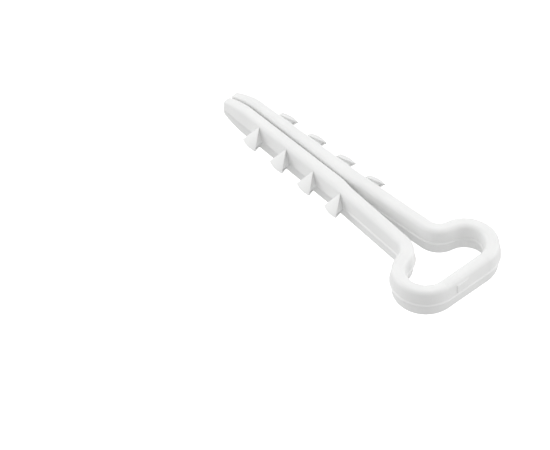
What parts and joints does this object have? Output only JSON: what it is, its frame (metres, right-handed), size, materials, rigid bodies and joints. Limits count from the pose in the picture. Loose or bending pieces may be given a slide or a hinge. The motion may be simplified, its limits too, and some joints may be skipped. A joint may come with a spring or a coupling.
{
  "type": "cable clip wall anchor",
  "caption": "Push-in wall anchor for flat cable: an oblong spring loop on two legs that close together, with hooked barbs that grip a drilled hole.",
  "frame": {"origin": "bottom centre of the moulding as it lies on its side, midway between the crown's outer face and the leg tips", "axes": "+X along the legs towards the tips, +Y across the loop towards the left leg, +Z through the thickness of the band"},
  "size_m": [0.045, 0.0164, 0.0045],
  "materials": {
    "nylon": "satin natural white nylon as it leaves the mould"
  },
  "bodies": {
    "head": {"crown": "nylon", "left_bow": "nylon", "right_bow": "nylon"},
    "left_leg": {"left_cheek": "nylon", "left_shoulder": "nylon", "left_arm": "nylon", "left_shank": "nylon", "left_tip": "nylon"},
    "right_leg": {"right_cheek": "nylon", "right_shoulder": "nylon", "right_arm": "nylon", "right_shank": "nylon", "right_tip": "nylon"},
    "left_hook_1": {"left_barb_1": "nylon"},
    "left_hook_2": {"left_barb_2": "nylon"},
    "left_hook_3": {"left_barb_3": "nylon"},
    "left_hook_4": {"left_barb_4": "nylon"},
    "right_hook_1": {"right_barb_1": "nylon"},
    "right_hook_2": {"right_barb_2": "nylon"},
    "right_hook_3": {"right_barb_3": "nylon"},
    "right_hook_4": {"right_barb_4": "nylon"}
  },
  "joints": [
    {"name": "left_leg_flex", "type": "hinge", "parent": "head", "child": "left_leg", "pos_m": [-0.01785, 0.00715, 0.00225], "axis": [0, 0, 1], "range_deg": [0, 25], "stiffness_Nm_per_rad": 0.29},
    {"name": "right_leg_flex", "type": "hinge", "parent": "head", "child": "right_leg", "pos_m": [-0.01785, -0.00715, 0.00225], "axis": [0, 0, -1], "range_deg": [0, 25], "stiffness_Nm_per_rad": 0.29},
    {"name": "left_barb_1_fold", "type": "hinge", "parent": "left_leg", "child": "left_hook_1", "pos_m": [0.0009, 0.00233, 0.00225], "axis": [0, 0, 1], "range_deg": [0, 8], "stiffness_Nm_per_rad": 0.5},
    {"name": "left_barb_2_fold", "type": "hinge", "parent": "left_leg", "child": "left_hook_2", "pos_m": [0.00625, 0.00219, 0.00225], "axis": [0, 0, 1], "range_deg": [0, 8], "stiffness_Nm_per_rad": 0.5},
    {"name": "left_barb_3_fold", "type": "hinge", "parent": "left_leg", "child": "left_hook_3", "pos_m": [0.0116, 0.00203, 0.00225], "axis": [0, 0, 1], "range_deg": [0, 8], "stiffness_Nm_per_rad": 0.5},
    {"name": "left_barb_4_fold", "type": "hinge", "parent": "left_leg", "child": "left_hook_4", "pos_m": [0.01695, 0.00186, 0.00225], "axis": [0, 0, 1], "range_deg": [0, 8], "stiffness_Nm_per_rad": 0.5},
    {"name": "right_barb_1_fold", "type": "hinge", "parent": "right_leg", "child": "right_hook_1", "pos_m": [0.0009, -0.00233, 0.00225], "axis": [0, 0, -1], "range_deg": [0, 8], "stiffness_Nm_per_rad": 0.5},
    {"name": "right_barb_2_fold", "type": "hinge", "parent": "right_leg", "child": "right_hook_2", "pos_m": [0.00625, -0.00219, 0.00225], "axis": [0, 0, -1], "range_deg": [0, 8], "stiffness_Nm_per_rad": 0.5},
    {"name": "right_barb_3_fold", "type": "hinge", "parent": "right_leg", "child": "right_hook_3", "pos_m": [0.0116, -0.00203, 0.00225], "axis": [0, 0, -1], "range_deg": [0, 8], "stiffness_Nm_per_rad": 0.5},
    {"name": "right_barb_4_fold", "type": "hinge", "parent": "right_leg", "child": "right_hook_4", "pos_m": [0.01695, -0.00186, 0.00225], "axis": [0, 0, -1], "range_deg": [0, 8], "stiffness_Nm_per_rad": 0.5}
  ]
}
